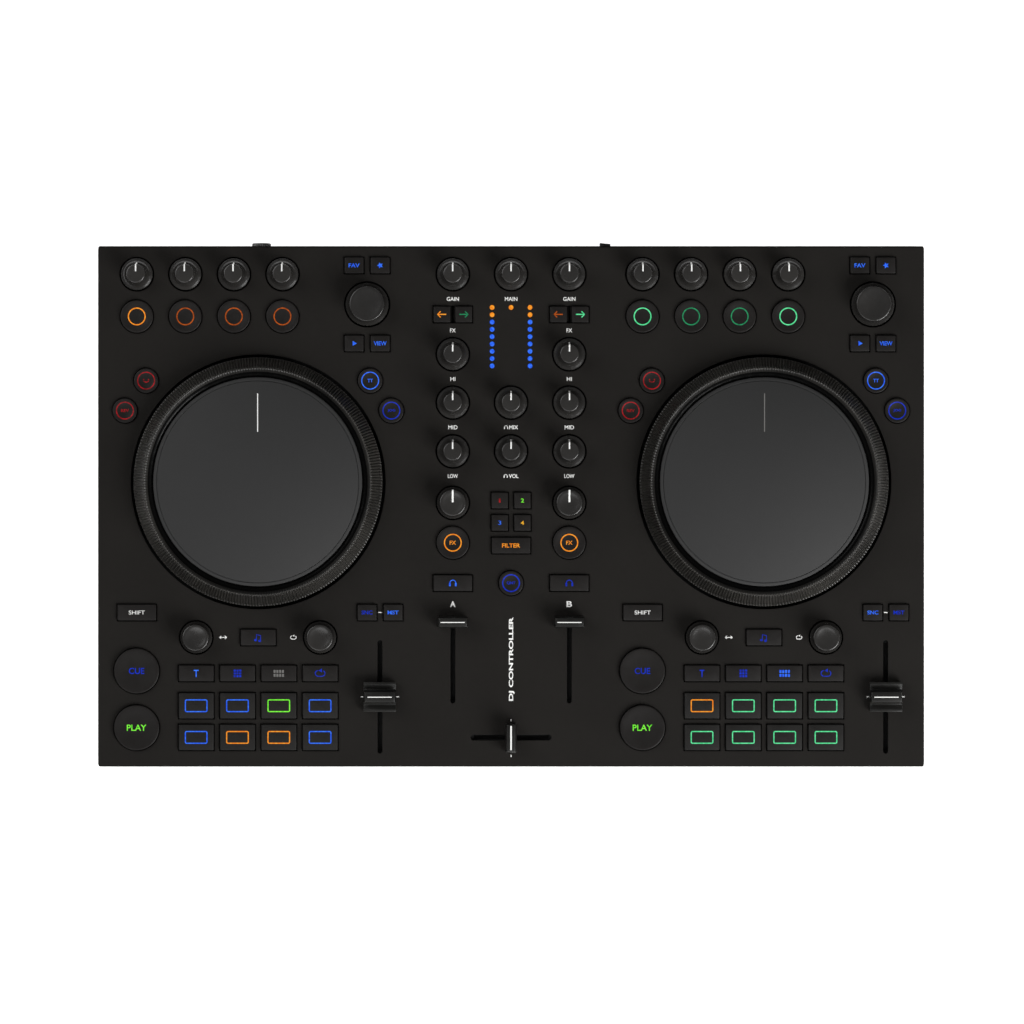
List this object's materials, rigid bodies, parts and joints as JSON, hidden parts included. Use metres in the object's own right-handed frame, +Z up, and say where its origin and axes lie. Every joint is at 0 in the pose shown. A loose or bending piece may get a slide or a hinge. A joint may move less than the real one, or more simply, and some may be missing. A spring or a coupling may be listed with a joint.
{
  "type": "dj controller",
  "caption": "Flat two-deck DJ controller with jog wheels, a mixer section, rotary knobs, faders, lit push keys and performance pads.",
  "frame": {"origin": "middle of the case's footprint, in the plane that the feet stand on", "axes": "+X to the player's right along the longest side, +Y to the rear, +Z up"},
  "size_m": [0.444, 0.2822, 0.0545],
  "materials": {
    "panel_finish": null,
    "case_finish": null,
    "foot_rubber": null,
    "screw_steel": null,
    "board_laminate": null,
    "switch_housing": null,
    "can_steel": null,
    "bearing_metal": null,
    "socket_plastic": null,
    "jog_rim_plastic": null,
    "jog_plate_metal": null,
    "fader_cap_plastic": null,
    "knob_plastic": null,
    "key_plastic": null,
    "pad_silicone": null,
    "print_white": null,
    "print_grey": null,
    "lens_blue": null,
    "lens_blue_dim": null,
    "lens_orange": null,
    "lens_orange_dim": null,
    "lens_mint": null,
    "lens_mint_dim": null,
    "lens_lime": null,
    "lens_red": null,
    "lens_yellow": null
  },
  "bodies": {
    "enclosure": {"top_panel": "panel_finish", "bottom_case": "case_finish", "rubber_feet": "foot_rubber", "case_screws": "screw_steel", "circuit_board": "board_laminate", "key_switches": "switch_housing", "rotary_control_bodies": "can_steel", "jog_bearings": "bearing_metal", "fader_tracks": "can_steel", "level_meter_lenses": "lens_blue", "sockets": "socket_plastic"},
    "jog_wheel_left": {"jog_rim_left": "jog_rim_plastic", "jog_plate_left": "jog_plate_metal"},
    "jog_wheel_right": {"jog_rim_right": "jog_rim_plastic", "jog_plate_right": "jog_plate_metal"},
    "tempo_fader_left": {"tempo_fader_left": "fader_cap_plastic"},
    "tempo_fader_right": {"tempo_fader_right": "fader_cap_plastic"},
    "line_fader_left": {"line_fader_left": "fader_cap_plastic"},
    "line_fader_right": {"line_fader_right": "fader_cap_plastic"},
    "crossfader": {"crossfader": "fader_cap_plastic"},
    "browse_encoder_left": {"browse_encoder_left": "knob_plastic"},
    "browse_encoder_right": {"browse_encoder_right": "knob_plastic"},
    "play_key_left": {"play_key_left": "key_plastic"},
    "cue_key_left": {"cue_key_left": "key_plastic"},
    "performance_pads_left": {"performance_pads_left": "pad_silicone"},
    "upper_keys_left": {"upper_keys_left": "key_plastic"},
    "lower_keys_left": {"lower_keys_left": "key_plastic"},
    "play_key_right": {"play_key_right": "key_plastic"},
    "cue_key_right": {"cue_key_right": "key_plastic"},
    "performance_pads_right": {"performance_pads_right": "pad_silicone"},
    "upper_keys_right": {"upper_keys_right": "key_plastic"},
    "lower_keys_right": {"lower_keys_right": "key_plastic"},
    "mixer_keys": {"mixer_keys": "key_plastic"},
    "power_switch": {"power_switch": "socket_plastic"},
    "mic_level_knob": {"mic_level_knob": "knob_plastic"},
    "filter_knob_left": {"filter_knob_left": "knob_plastic"},
    "main_level_knob": {"main_level_knob": "knob_plastic"},
    "fx_knob_left_1": {"fx_knob_left_1": "knob_plastic"},
    "move_encoder_left": {"move_encoder_left": "knob_plastic"},
    "loop_encoder_left": {"loop_encoder_left": "knob_plastic"},
    "move_encoder_right": {"move_encoder_right": "knob_plastic"},
    "loop_encoder_right": {"loop_encoder_right": "knob_plastic"},
    "filter_knob_right": {"filter_knob_right": "knob_plastic"},
    "gain_knob_left": {"gain_knob_left": "knob_plastic"},
    "gain_knob_right": {"gain_knob_right": "knob_plastic"},
    "high_knob_left": {"high_knob_left": "knob_plastic"},
    "high_knob_right": {"high_knob_right": "knob_plastic"},
    "mid_knob_left": {"mid_knob_left": "knob_plastic"},
    "mid_knob_right": {"mid_knob_right": "knob_plastic"},
    "low_knob_left": {"low_knob_left": "knob_plastic"},
    "low_knob_right": {"low_knob_right": "knob_plastic"},
    "phones_mix_knob": {"phones_mix_knob": "knob_plastic"},
    "phones_volume_knob": {"phones_volume_knob": "knob_plastic"},
    "fx_knob_left_2": {"fx_knob_left_2": "knob_plastic"},
    "fx_knob_left_3": {"fx_knob_left_3": "knob_plastic"},
    "fx_knob_left_4": {"fx_knob_left_4": "knob_plastic"},
    "fx_knob_right_1": {"fx_knob_right_1": "knob_plastic"},
    "fx_knob_right_2": {"fx_knob_right_2": "knob_plastic"},
    "fx_knob_right_3": {"fx_knob_right_3": "knob_plastic"},
    "fx_knob_right_4": {"fx_knob_right_4": "knob_plastic"}
  },
  "joints": [
    {"name": "jog_wheel_left_turn", "type": "hinge", "parent": "enclosure", "child": "jog_wheel_left", "pos_m": [-0.1359, 0.0132, 0.053], "axis": [0, 0, 1], "continuous": true},
    {"name": "jog_wheel_right_turn", "type": "hinge", "parent": "enclosure", "child": "jog_wheel_right", "pos_m": [0.1359, 0.0132, 0.053], "axis": [0, 0, 1], "continuous": true},
    {"name": "tempo_fader_left_slide", "type": "slide", "parent": "enclosure", "child": "tempo_fader_left", "axis": [0, 1, 0], "range_m": [-0.027, 0.027]},
    {"name": "tempo_fader_right_slide", "type": "slide", "parent": "enclosure", "child": "tempo_fader_right", "axis": [0, 1, 0], "range_m": [-0.027, 0.027]},
    {"name": "line_fader_left_slide", "type": "slide", "parent": "enclosure", "child": "line_fader_left", "axis": [0, 1, 0], "range_m": [-0.04, 0]},
    {"name": "line_fader_right_slide", "type": "slide", "parent": "enclosure", "child": "line_fader_right", "axis": [0, 1, 0], "range_m": [-0.04, 0]},
    {"name": "crossfader_slide", "type": "slide", "parent": "enclosure", "child": "crossfader", "axis": [1, 0, 0], "range_m": [-0.018, 0.018]},
    {"name": "browse_encoder_left_turn", "type": "hinge", "parent": "enclosure", "child": "browse_encoder_left", "pos_m": [-0.07735, 0.1086, 0.0525], "axis": [0, 0, 1], "continuous": true},
    {"name": "browse_encoder_right_turn", "type": "hinge", "parent": "enclosure", "child": "browse_encoder_right", "pos_m": [0.19445, 0.1086, 0.0525], "axis": [0, 0, 1], "continuous": true},
    {"name": "play_key_left_press", "type": "slide", "parent": "enclosure", "child": "play_key_left", "axis": [0, 0, -1], "range_m": [0, 0.0007], "stiffness_N_per_m": 1500, "springref_m": -0.0002},
    {"name": "cue_key_left_press", "type": "slide", "parent": "enclosure", "child": "cue_key_left", "axis": [0, 0, -1], "range_m": [0, 0.0007], "stiffness_N_per_m": 1500, "springref_m": -0.0002},
    {"name": "performance_pads_left_press", "type": "slide", "parent": "enclosure", "child": "performance_pads_left", "axis": [0, 0, -1], "range_m": [0, 0.0007], "stiffness_N_per_m": 1500, "springref_m": -0.0002},
    {"name": "upper_keys_left_press", "type": "slide", "parent": "enclosure", "child": "upper_keys_left", "axis": [0, 0, -1], "range_m": [0, 0.0007], "stiffness_N_per_m": 1500, "springref_m": -0.0002},
    {"name": "lower_keys_left_press", "type": "slide", "parent": "enclosure", "child": "lower_keys_left", "axis": [0, 0, -1], "range_m": [0, 0.0007], "stiffness_N_per_m": 1500, "springref_m": -0.0002},
    {"name": "play_key_right_press", "type": "slide", "parent": "enclosure", "child": "play_key_right", "axis": [0, 0, -1], "range_m": [0, 0.0007], "stiffness_N_per_m": 1500, "springref_m": -0.0002},
    {"name": "cue_key_right_press", "type": "slide", "parent": "enclosure", "child": "cue_key_right", "axis": [0, 0, -1], "range_m": [0, 0.0007], "stiffness_N_per_m": 1500, "springref_m": -0.0002},
    {"name": "performance_pads_right_press", "type": "slide", "parent": "enclosure", "child": "performance_pads_right", "axis": [0, 0, -1], "range_m": [0, 0.0007], "stiffness_N_per_m": 1500, "springref_m": -0.0002},
    {"name": "upper_keys_right_press", "type": "slide", "parent": "enclosure", "child": "upper_keys_right", "axis": [0, 0, -1], "range_m": [0, 0.0007], "stiffness_N_per_m": 1500, "springref_m": -0.0002},
    {"name": "lower_keys_right_press", "type": "slide", "parent": "enclosure", "child": "lower_keys_right", "axis": [0, 0, -1], "range_m": [0, 0.0007], "stiffness_N_per_m": 1500, "springref_m": -0.0002},
    {"name": "mixer_keys_press", "type": "slide", "parent": "enclosure", "child": "mixer_keys", "axis": [0, 0, -1], "range_m": [0, 0.0007], "stiffness_N_per_m": 1500, "springref_m": -0.0002},
    {"name": "power_switch_rock", "type": "hinge", "parent": "enclosure", "child": "power_switch", "pos_m": [0.0507, 0.1355, 0.018], "axis": [0, 0, 1], "range_deg": [0, 8]},
    {"name": "mic_level_knob_turn", "type": "hinge", "parent": "enclosure", "child": "mic_level_knob", "pos_m": [-0.1348, 0.142, 0.018], "axis": [0, 1, 0], "range_deg": [-140, 140]},
    {"name": "filter_knob_left_turn", "type": "hinge", "parent": "enclosure", "child": "filter_knob_left", "pos_m": [-0.0313, 0.0019, 0.0525], "axis": [0, 0, 1], "range_deg": [-150, 150]},
    {"name": "main_level_knob_turn", "type": "hinge", "parent": "enclosure", "child": "main_level_knob", "pos_m": [0, 0.1248, 0.0545], "axis": [0, 0, 1], "range_deg": [-150, 150]},
    {"name": "fx_knob_left_1_turn", "type": "hinge", "parent": "enclosure", "child": "fx_knob_left_1", "pos_m": [-0.20115, 0.1248, 0.0545], "axis": [0, 0, 1], "range_deg": [-150, 150]},
    {"name": "move_encoder_left_turn", "type": "hinge", "parent": "enclosure", "child": "move_encoder_left", "pos_m": [-0.1692, -0.0704, 0.0525], "axis": [0, 0, 1], "continuous": true},
    {"name": "loop_encoder_left_turn", "type": "hinge", "parent": "enclosure", "child": "loop_encoder_left", "pos_m": [-0.1026, -0.0704, 0.0525], "axis": [0, 0, 1], "continuous": true},
    {"name": "move_encoder_right_turn", "type": "hinge", "parent": "enclosure", "child": "move_encoder_right", "pos_m": [0.1026, -0.0704, 0.0525], "axis": [0, 0, 1], "continuous": true},
    {"name": "loop_encoder_right_turn", "type": "hinge", "parent": "enclosure", "child": "loop_encoder_right", "pos_m": [0.1692, -0.0704, 0.0525], "axis": [0, 0, 1], "continuous": true},
    {"name": "filter_knob_right_turn", "type": "hinge", "parent": "enclosure", "child": "filter_knob_right", "pos_m": [0.0313, 0.0019, 0.0525], "axis": [0, 0, 1], "range_deg": [-150, 150]},
    {"name": "gain_knob_left_turn", "type": "hinge", "parent": "enclosure", "child": "gain_knob_left", "pos_m": [-0.0313, 0.1248, 0.0545], "axis": [0, 0, 1], "range_deg": [-150, 150]},
    {"name": "gain_knob_right_turn", "type": "hinge", "parent": "enclosure", "child": "gain_knob_right", "pos_m": [0.0313, 0.1248, 0.0545], "axis": [0, 0, 1], "range_deg": [-150, 150]},
    {"name": "high_knob_left_turn", "type": "hinge", "parent": "enclosure", "child": "high_knob_left", "pos_m": [-0.0313, 0.0818, 0.0545], "axis": [0, 0, 1], "range_deg": [-150, 150]},
    {"name": "high_knob_right_turn", "type": "hinge", "parent": "enclosure", "child": "high_knob_right", "pos_m": [0.0313, 0.0818, 0.0545], "axis": [0, 0, 1], "range_deg": [-150, 150]},
    {"name": "mid_knob_left_turn", "type": "hinge", "parent": "enclosure", "child": "mid_knob_left", "pos_m": [-0.0313, 0.0558, 0.0545], "axis": [0, 0, 1], "range_deg": [-150, 150]},
    {"name": "mid_knob_right_turn", "type": "hinge", "parent": "enclosure", "child": "mid_knob_right", "pos_m": [0.0313, 0.0558, 0.0545], "axis": [0, 0, 1], "range_deg": [-150, 150]},
    {"name": "low_knob_left_turn", "type": "hinge", "parent": "enclosure", "child": "low_knob_left", "pos_m": [-0.0313, 0.0296, 0.0545], "axis": [0, 0, 1], "range_deg": [-150, 150]},
    {"name": "low_knob_right_turn", "type": "hinge", "parent": "enclosure", "child": "low_knob_right", "pos_m": [0.0313, 0.0296, 0.0545], "axis": [0, 0, 1], "range_deg": [-150, 150]},
    {"name": "phones_mix_knob_turn", "type": "hinge", "parent": "enclosure", "child": "phones_mix_knob", "pos_m": [0, 0.0558, 0.0545], "axis": [0, 0, 1], "range_deg": [-150, 150]},
    {"name": "phones_volume_knob_turn", "type": "hinge", "parent": "enclosure", "child": "phones_volume_knob", "pos_m": [0, 0.0296, 0.0545], "axis": [0, 0, 1], "range_deg": [-150, 150]},
    {"name": "fx_knob_left_2_turn", "type": "hinge", "parent": "enclosure", "child": "fx_knob_left_2", "pos_m": [-0.17505, 0.1248, 0.0545], "axis": [0, 0, 1], "range_deg": [-150, 150]},
    {"name": "fx_knob_left_3_turn", "type": "hinge", "parent": "enclosure", "child": "fx_knob_left_3", "pos_m": [-0.14895, 0.1248, 0.0545], "axis": [0, 0, 1], "range_deg": [-150, 150]},
    {"name": "fx_knob_left_4_turn", "type": "hinge", "parent": "enclosure", "child": "fx_knob_left_4", "pos_m": [-0.12285, 0.1248, 0.0545], "axis": [0, 0, 1], "range_deg": [-150, 150]},
    {"name": "fx_knob_right_1_turn", "type": "hinge", "parent": "enclosure", "child": "fx_knob_right_1", "pos_m": [0.07065, 0.1248, 0.0545], "axis": [0, 0, 1], "range_deg": [-150, 150]},
    {"name": "fx_knob_right_2_turn", "type": "hinge", "parent": "enclosure", "child": "fx_knob_right_2", "pos_m": [0.09675, 0.1248, 0.0545], "axis": [0, 0, 1], "range_deg": [-150, 150]},
    {"name": "fx_knob_right_3_turn", "type": "hinge", "parent": "enclosure", "child": "fx_knob_right_3", "pos_m": [0.12285, 0.1248, 0.0545], "axis": [0, 0, 1], "range_deg": [-150, 150]},
    {"name": "fx_knob_right_4_turn", "type": "hinge", "parent": "enclosure", "child": "fx_knob_right_4", "pos_m": [0.14895, 0.1248, 0.0545], "axis": [0, 0, 1], "range_deg": [-150, 150]}
  ]
}
